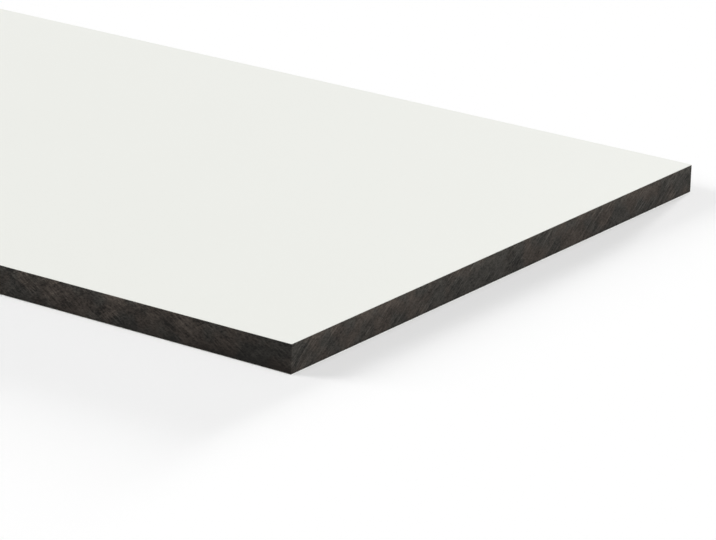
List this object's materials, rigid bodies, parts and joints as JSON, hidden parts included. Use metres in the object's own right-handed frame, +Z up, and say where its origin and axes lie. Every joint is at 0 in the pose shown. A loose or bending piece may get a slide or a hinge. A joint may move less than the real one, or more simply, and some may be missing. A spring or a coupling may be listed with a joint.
{
  "type": "compact laminate board",
  "caption": "Long, thin, flat facade board of compact laminate: white decor on both faces of a dense black core, with square-sawn edges and lightly broken arrises.",
  "frame": {"origin": "middle of the face that the board lies on", "axes": "+X along the length, +Y across the width, +Z up through the thickness to the white face that the picture shows"},
  "size_m": [3.05, 0.186, 0.008],
  "materials": {
    "phenolic_core": "matt black-brown sawn edge of resin-bonded kraft paper, with fine saw marks",
    "white_decor": "satin white melamine decor, smooth and even"
  },
  "bodies": {
    "root": {"core": "phenolic_core", "decor_face": "white_decor", "decor_back": "white_decor"}
  },
  "joints": []
}
